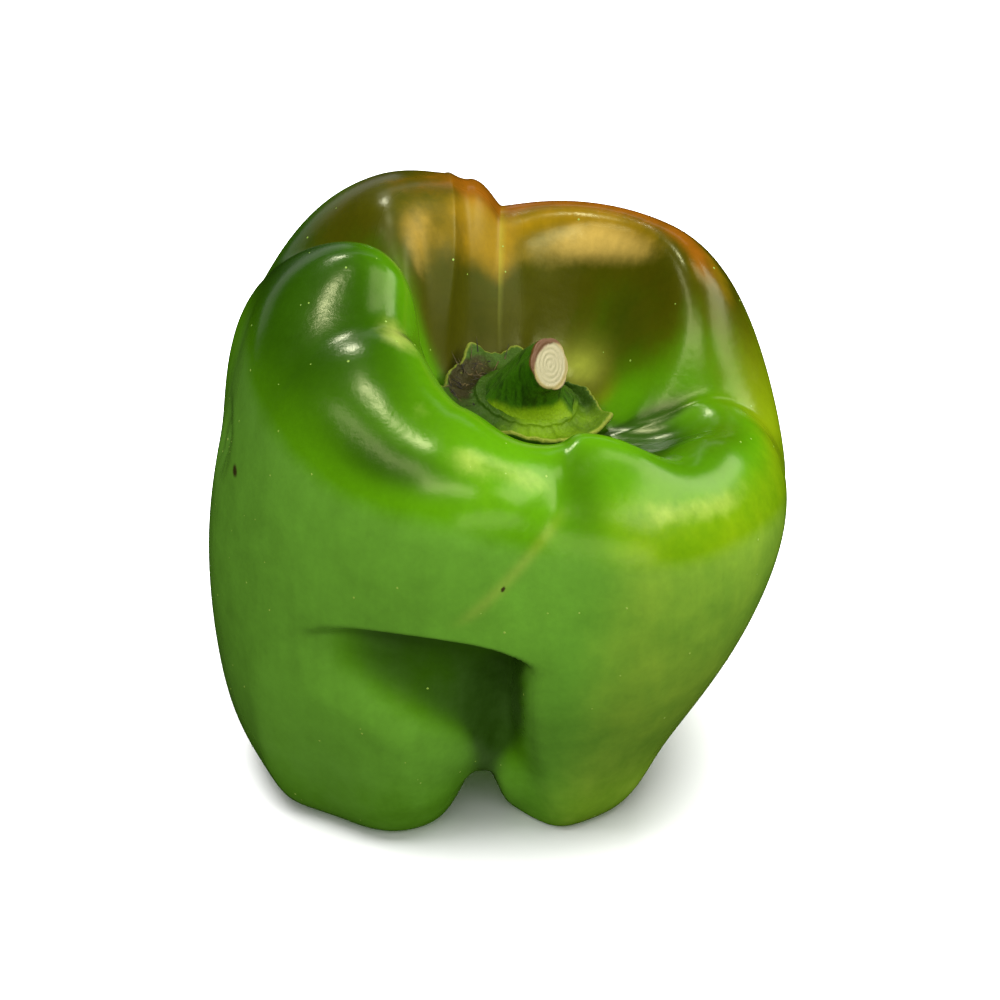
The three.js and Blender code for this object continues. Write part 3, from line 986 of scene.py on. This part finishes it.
@dataclass(frozen=True)
class Fibres:
    """The dried brown fibres that lie in the calyx, strewn over its patches of dried tissue and painted
    shade.
    """

    length: float = 2.4
    thickness: float = 0.11
    density: float = 1.1  # fibres on a square millimetre where dried tissue and painted shade are full
    lean: tuple[Triple, Triple] = ((1.2, -0.4, 0.0), (1.6, 0.4, math.tau))  # least and most, by axis
    taper: float = 0.2
    seed: int = 7
    colour: Colour = srgb(84, 70, 26)

    def material(self) -> Material:
        """Build the fibres' material.

        Returns:
            The material.
        """
        s = Shader("fibre")
        tone = s.noise(1.4, 2)
        colour = s.blend(self.colour, srgb(30, 25, 8), tone.smooth(0.4, 0.6))
        return s.finish(Base_Color=colour, Roughness=0.8)

    def build(self, calyx: Object) -> Object:
        """Strew the fibres over the calyx.

        Args:
            calyx: The calyx, with its attribute for dried tissue and painted shade.

        Returns:
            The piece.
        """
        tree = Geometry("fibres", {
            "Length": self.length * MM, "Thickness": self.thickness * MM,
            "Density": self.density / MM**2, "Seed": self.seed, "Material": self.material(),
        })
        dry_and_shade = tree.node("GeometryNodeInputNamedAttribute", {"Name": "dry_and_shade"}, data_type="FLOAT")
        strewn = tree.strewn(tree.given("Density") * Value(tree, dry_and_shade.outputs["Attribute"]) ** 2)
        thickness = tree.given("Thickness")
        sockets = {
            "Vertices": 4, "Side Segments": 3, "Radius Top": thickness * self.taper,
            "Radius Bottom": thickness, "Depth": tree.given("Length"),
        }
        cone = tree.node("GeometryNodeMeshCone", sockets)
        sockets = {"Min": self.lean[0], "Max": self.lean[1], "Seed": tree.entry["Seed"]}
        lean = tree.node("FunctionNodeRandomValue", sockets, data_type="FLOAT_VECTOR")
        turned_by = tree.node("FunctionNodeEulerToRotation", {0: lean.outputs[0]})
        sockets = {0: strewn.outputs["Rotation"], 1: turned_by.outputs[0]}
        aimed = tree.node("FunctionNodeRotateRotation", sockets, rotation_space="LOCAL")
        tree.close(tree.place(
            Points=strewn.outputs["Points"], Instance=cone.outputs["Mesh"], Rotation=aimed.outputs[0]
        ))
        return tree.cover(calyx, "calyx_fibres", "calyx")


class Part(Enum):
    """The stem's two materials, by their place on the mesh."""

    RIND = 0
    CUT = 1


@dataclass(frozen=True)
class StemTissue:
    """The stem's green rind and its pale cut."""

    green: Colour = srgb(44, 84, 3)
    dark: Colour = srgb(22, 50, 2)
    lime: Colour = srgb(104, 134, 6)
    cream: Colour = srgb(160, 152, 116)
    ring: Colour = srgb(150, 134, 80)
    brown: Colour = srgb(92, 60, 28)

    def rind(self) -> Material:
        """Build the rind's material: streaks along the ribs, and painted light on the front of the foot.

        Returns:
            The material.
        """
        s = Shader("stem_rind")
        streak = s.noise(1.3, 4, 0.6, stretch=(1, 1, 5))
        grain = s.noise(0.5, 3, 0.6)
        colour = s.blend(self.green, self.dark, streak.smooth(0.42, 0.7))
        # painted light on the front of the foot
        colour = s.lay(colour, streak - 0.5, (("foot", self.lime, 0.5, 0.3, 0.9, 1),))
        colour = s.lay(colour, grain - 0.5, (("dried", self.brown, 0.4, 0.4, 0.8, 1),))
        colour = s.shade(colour, 0.8 + grain * 0.4)
        return s.finish(
            Base_Color=colour,
            Roughness=0.36 + streak * 0.2,
            Specular_IOR_Level=0.3,
            Specular_Tint=LEAF_TINT,
            Normal=s.bump(streak * 2.0 + grain, 0.12),
        )

    def cut(self) -> Material:
        """Build the cut's material: rings of pale flesh with a brown edge.

        Returns:
            The material.
        """
        s = Shader("stem_cut")
        grain = s.noise(0.6, 3, 0.6)
        off = s.attribute("off") + (grain - 0.5) * 0.08
        rings = (off * 34.0).math("SINE") * 0.5 + 0.5
        colour = s.blend(self.cream, self.ring, rings * 0.09 * off.smooth(0.1, 0.5))
        colour = s.blend(colour, self.ring, off.smooth(0.72, 0.86) * (1 - off.smooth(0.9, 1.0)))
        colour = s.blend(colour, self.brown, (off + s.attribute("dried") * 0.34).smooth(0.9, 1.04))
        return s.finish(Base_Color=colour, Roughness=0.7, Normal=s.bump(grain + rings * 0.6, 0.12))


@dataclass
class Stem:
    """The ribbed stub that leans out of the calyx and is cut off aslant."""

    path: tuple[Triple, Triple, Triple] = ((4.0, -0.4, 60.7), (4.4, -1.5, 66.3), (7.2, -5.2, 70.1))
    radii: tuple[float, ...] = (7.0, 5.8, 4.9, 4.3, 4.0, 3.8, 3.75)
    cut: Triple = (0.74, -0.56, 0.37)
    spare: float = 4  # how far the path goes on past the cut
    ribs: int = 6
    rib_depth: float = 0.06
    sides: int = 96
    steps: int = 60
    rings: tuple[Pair, ...] = (  # share of the cut's radius, rise
        (0.965, 0.16), (0.92, 0.2), (0.8, 0.14), (0.6, 0.2), (0.4, 0.24), (0.2, 0.26),
    )
    dried_side: Triple = (-0.55, 0.2, 0.8)  # the corner of the cut that has dried most
    dried_depth: float = 1.1  # how far down the rind
    foot_height: Pair = (0.5, 4.2)  # heights over which the painted light on the rind's foot fades
    foot_front: Pair = (-0.5, 4.0)  # how far forward it starts and is full
    tissue: StemTissue = field(default_factory=StemTissue)

    def centre_line(self) -> Object:
        """Draw the stem's path and on past the cut, with its radius.

        Returns:
            The curve.
        """
        a, b, c = (Vector(p) for p in self.path)
        tangent = (c - b).normalized()
        radius_at = spline(self.radii)
        length = (b - a).length + (c - b).length
        curve = bpy.data.curves.new("stem_path", "CURVE")
        curve.dimensions = "3D"
        line = curve.splines.new("POLY")
        line.points.add(self.steps)
        for i, point in enumerate(line.points):
            t = i / self.steps * (1 + self.spare / length)
            u = min(t, 1.0)
            middle = a * (1 - u) ** 2 + b * (2 * u * (1 - u)) + c * u**2 + tangent * ((t - u) * length)
            point.co = (*placed(middle), 1)
            point.radius = float(radius_at(u * (len(self.radii) - 1))) * MM
        return add_object("stem_path", curve)

    def ribbed(self, rind: Material) -> Mesh:
        """Sweep a ribbed ring along the path.

        Args:
            rind: The rind's material.

        Returns:
            A tube that is open at both ends.
        """
        tree = Geometry("ribbed_stem", {
            "Ribs": self.ribs, "Rib depth": self.rib_depth, "Sides": self.sides, "Material": rind,
        })
        sockets = {"Resolution": tree.entry["Sides"], "Radius": 1.0}
        ring = tree.node("GeometryNodeCurvePrimitiveCircle", sockets)
        turn = Value(tree, tree.node("GeometryNodeSplineParameter").outputs["Factor"]) * math.tau
        crooked = (turn * 2.0).math("SINE") * 0.35
        wave = (turn * tree.given("Ribs") * 0.5 + crooked).math("COSINE").math("ABSOLUTE")
        uneven = (turn * 3.0 + 1.0).math("SINE") * 0.02
        reach = 1.0 + (wave ** 0.8 - 0.64) * tree.given("Rib depth") * 1.2 + uneven
        sockets = {"Vector": tree.node("GeometryNodeInputPosition").outputs[0], "Scale": reach}
        moved = tree.node("ShaderNodeVectorMath", sockets, operation="SCALE")
        sockets = {"Geometry": ring.outputs["Curve"], "Position": moved.outputs[0]}
        shaped = tree.node("GeometryNodeSetPosition", sockets)
        radius = tree.node("GeometryNodeInputRadius").outputs[0]
        sockets = {"Curve": tree.entry["Geometry"], "Profile Curve": shaped.outputs[0], "Scale": radius}
        tree.close(tree.node("GeometryNodeCurveToMesh", sockets).outputs[0])
        return tree.run(self.centre_line(), "stem_stub")

    def build(self) -> Object:
        """Make the stem, cut it aslant and close the cut with rings.

        Returns:
            The piece.
        """
        mesh = self.ribbed(self.tissue.rind())
        mesh.materials.append(self.tissue.cut())
        end = placed(self.path[2])
        facing = Vector(self.cut).normalized()
        work = bmesh.new()
        work.from_mesh(mesh)
        bmesh.ops.remove_doubles(work, verts=work.verts, dist=1e-7)
        everything = work.verts[:] + work.edges[:] + work.faces[:]
        bmesh.ops.bisect_plane(work, geom=everything, plane_co=end, plane_no=facing, clear_outer=True)
        open_edges = [e for e in work.edges if e.is_boundary]
        at_cut = [e for e in open_edges if all(abs((v.co - end).dot(facing)) < 1e-6 for v in e.verts)]
        foot = [e for e in open_edges if e not in at_cut]
        bmesh.ops.holes_fill(work, edges=foot, sides=0)
        self.close_cut(work, at_cut, facing)
        bmesh.ops.recalc_face_normals(work, faces=work.faces)
        work.to_mesh(mesh)
        work.free()
        self.mark(mesh, end, facing)
        mesh.polygons.foreach_set("use_smooth", np.ones(len(mesh.polygons), bool))
        mesh.update()
        return ride("stem_stub", mesh, "stem")

    def close_cut(self, work: bmesh.types.BMesh, edges: list[bmesh.types.BMEdge], facing: Vector) -> None:
        """Fill the cut with rings that dome a little.

        Args:
            work: The stem's mesh.
            edges: The loop round the cut.
            facing: The direction that the cut faces.
        """
        loop = [edges[0].verts[0]]
        linked = {v: [e.other_vert(v) for e in edges if v in e.verts] for e in edges for v in e.verts}
        before = None
        while len(loop) < len(linked):
            after = next(v for v in linked[loop[-1]] if v is not before)
            before = loop[-1]
            loop.append(after)
        middle = sum((v.co for v in loop), Vector()) / len(loop)
        size = max((v.co - middle).length for v in loop)
        rings, count = [loop], len(loop)
        for share, dome in self.rings:
            lift = facing * (dome * MM * (0.6 + 0.4 * share))
            rings.append([work.verts.new(middle + (v.co - middle) * share + lift) for v in loop])
        tip = work.verts.new(middle + facing * self.rings[-1][1] * MM * 0.6)
        faces = [
            (outer[i], outer[i + 1 - count], inner[i + 1 - count], inner[i])
            for outer, inner in zip(rings, rings[1:]) for i in range(count)
        ]
        faces += [(rings[-1][i], rings[-1][i + 1 - count], tip) for i in range(count)]
        for corners in faces:
            work.faces.new(corners).material_index = Part.CUT.value
        log.info("stem cut: %.1f mm across", 2 * size / MM)

    def mark(self, mesh: Mesh, end: Vector, facing: Vector) -> None:
        """Store where light is painted on the stem's foot, where it has dried, and how far out the cut's
        points are.

        Args:
            mesh: The finished stem.
            end: The middle of the cut.
            facing: The direction that the cut faces.
        """
        base = placed(self.path[0])
        corner_side = Vector(self.dried_side).normalized()
        off, dried, foot = [], [], []
        radius = self.radii[-1] * MM
        for vertex in mesh.vertices:
            away = vertex.co - end
            depth = away.dot(facing)
            flat = away - facing * depth
            off.append(min(flat.length / (radius * 1.12), 1.0))
            corner = max(flat.normalized().dot(corner_side), 0.0) if flat.length > 1e-6 else 0.0
            near = max(0.0, 1 + depth / (self.dried_depth * MM))
            dried.append(near * (0.35 + corner) if depth < 1e-4 else corner)
            # painted light: low on the stem and towards the front
            low = 1 - float(smooth((vertex.co.z - base.z) / MM, *self.foot_height))
            foot.append(low * float(smooth((base.y - vertex.co.y) / MM, *self.foot_front)))
        for key, values in (("off", off), ("dried", dried), ("foot", foot)):
            mesh.attributes.new(key, "FLOAT", "POINT").data.foreach_set("value", values)


@dataclass(frozen=True)
class Specks:
    """The tiny pale specks of the skin, raised a little."""

    radius: float = 0.2
    sizes: Pair = (0.5, 1.1)  # smallest and largest, of the radius
    rise: float = 0.3  # height, of the radius
    density: float = 0.009  # specks on a square millimetre
    seed: int = 11
    colour: Colour = srgb(140, 166, 66)

    def material(self) -> Material:
        """Build the specks' material.

        Returns:
            The material.
        """
        s = Shader("speck")
        tone = s.noise(1.0, 2)
        colour = s.blend(self.colour, srgb(112, 148, 34), tone)
        return s.finish(Base_Color=colour, Roughness=0.35)

    def build(self, fruit: Object) -> Object:
        """Strew the specks over the fruit.

        Args:
            fruit: The fruit that they lie on.

        Returns:
            The piece.
        """
        tree = Geometry("specks", {
            "Radius": self.radius * MM, "Density": self.density / MM**2, "Seed": self.seed,
            "Material": self.material(),
        })
        strewn = tree.strewn(tree.entry["Density"])
        dome = tree.node("GeometryNodeMeshIcoSphere", {"Radius": 1.0, "Subdivisions": 1})
        sockets = {2: self.sizes[0], 3: self.sizes[1], "Seed": tree.entry["Seed"]}
        size = tree.node("FunctionNodeRandomValue", sockets, data_type="FLOAT")
        wide = Value(tree, size.outputs[1]) * tree.given("Radius")
        scale = tree.node("ShaderNodeCombineXYZ", {"X": wide, "Y": wide, "Z": wide * self.rise})
        points, turns = strewn.outputs["Points"], strewn.outputs["Rotation"]
        tree.close(tree.place(
            Points=points, Instance=dome.outputs["Mesh"], Rotation=turns, Scale=scale.outputs[0]
        ))
        return tree.cover(fruit, "skin_specks", "skin")


@dataclass(frozen=True)
class Softbox:
    """An area light that faces the pepper, placed by the way it is seen from there."""

    name: str
    azimuth: float  # from the camera's side, to the right
    elevation: float
    distance: float  # in metres
    size: Pair
    radiance: float

    def build(self, target: Vector, lit: bpy.types.Collection) -> None:
        """Hang the light, facing a point.

        Args:
            target: The point, in metres.
            lit: The objects that the light falls on.
        """
        lamp = bpy.data.lights.new(self.name, "AREA")
        lamp.shape = "RECTANGLE"
        lamp.size, lamp.size_y = self.size
        lamp.energy = self.radiance * math.pi * self.size[0] * self.size[1]
        made = add_object(self.name, lamp)
        aim(made, target, self.azimuth, self.elevation, self.distance)
        made.light_linking.receiver_collection = lit


@dataclass
class Studio:
    """The pale floor, the soft light and the camera."""

    elevation: float = 33
    distance: float = 0.62
    target: Triple = (0.00075, -0.00085, 0.0431)
    lens: float = 148.428
    sky: float = 0.34
    floor_reach: float = 2.5
    floor_height: float = -0.0001
    boxes: tuple[Softbox, ...] = (
        Softbox("right", 82, 40, 2.0, (2.6, 0.7), 8.7),
        Softbox("right_top", 100, 63, 1.5, (0.4, 0.8), 6),
        Softbox("key", -14, 46, 1.0, (0.7, 0.2), 11),
        Softbox("key_left", -60, 52, 1.0, (0.6, 0.12), 9),
        Softbox("spot_left", -151, 48, 1.0, (0.1, 0.1), 75),
        Softbox("spot_top", -102, 71, 1.0, (0.1, 0.1), 80),
        Softbox("back", -150, 8, 1.5, (1.4, 0.5), 0.5),
        Softbox("rear", 180, 36, 1.5, (1.2, 0.2), 1.5),
        Softbox("front", 18, 10, 1.6, (1.3, 0.5), 4),
    )
    floor_boxes: tuple[Softbox, ...] = (
        Softbox("floor_top", 178, 86, 1.5, (1.6, 1.6), 10.5),
        Softbox("floor_front", 0, 45, 1.6, (2.0, 0.9), 1.2),
    )

    def floor(self) -> None:
        """Lay the floor."""
        mesh = bpy.data.meshes.new("floor")
        far, low = self.floor_reach, self.floor_height
        corners = [(-far, -far, low), (far, -far, low), (far, far, low), (-far, far, low)]
        mesh.from_pydata(corners, [], [(0, 1, 2, 3)])
        s = Shader("floor")
        tone = s.noise(120, 1)
        colour = s.blend(srgb(252, 252, 251), srgb(249, 249, 248), tone)
        mesh.materials.append(s.finish(Base_Color=colour, Roughness=0.65, Specular_IOR_Level=0.2))
        made = add_object("floor", mesh)
        made.visible_glossy = False
        made.visible_diffuse = False

    def light(self) -> None:
        """Set the sky and the softboxes."""
        world = bpy.data.worlds.new("studio")
        bpy.context.scene.world = world
        world.use_nodes = True
        world.cycles_visibility.glossy = False
        tree = Tree(world.node_tree)
        sky = tree.node("ShaderNodeBackground", {"Color": (1, 1, 1, 1), "Strength": self.sky})
        tree.node("ShaderNodeOutputWorld", {"Surface": sky.outputs[0]})
        pepper, stage = (bpy.data.collections.new(name) for name in ("lit_pepper", "lit_floor"))
        for thing in [o for o in bpy.context.scene.objects if o.type == "MESH"]:
            (stage if thing.name == "floor" else pepper).objects.link(thing)
        for boxes, lit in ((self.boxes, pepper), (self.floor_boxes, stage)):
            for box in boxes:
                box.build(Vector(self.target), lit)

    def camera(self) -> None:
        """Set the camera at the photograph's angle."""
        data = bpy.data.cameras.new("camera")
        data.sensor_width = 36
        data.lens = self.lens
        data.clip_start = 0.02
        made = add_object("camera", data)
        aim(made, Vector(self.target), 0, self.elevation, self.distance)
        bpy.context.scene.camera = made
        bpy.context.scene.view_settings.view_transform = "Standard"

    def build(self) -> None:
        """Set up the studio."""
        self.floor()
        self.camera()
        self.light()


def main() -> None:
    """Build the studio and the pepper."""
    logging.basicConfig(level=logging.INFO, format="%(name)s %(message)s")
    fruit = Fruit().build()
    Specks().build(fruit)
    calyx = Calyx().build()
    Fibres().build(calyx)
    Stem().build()
    Studio().build()


if __name__ == "__main__":
    main()
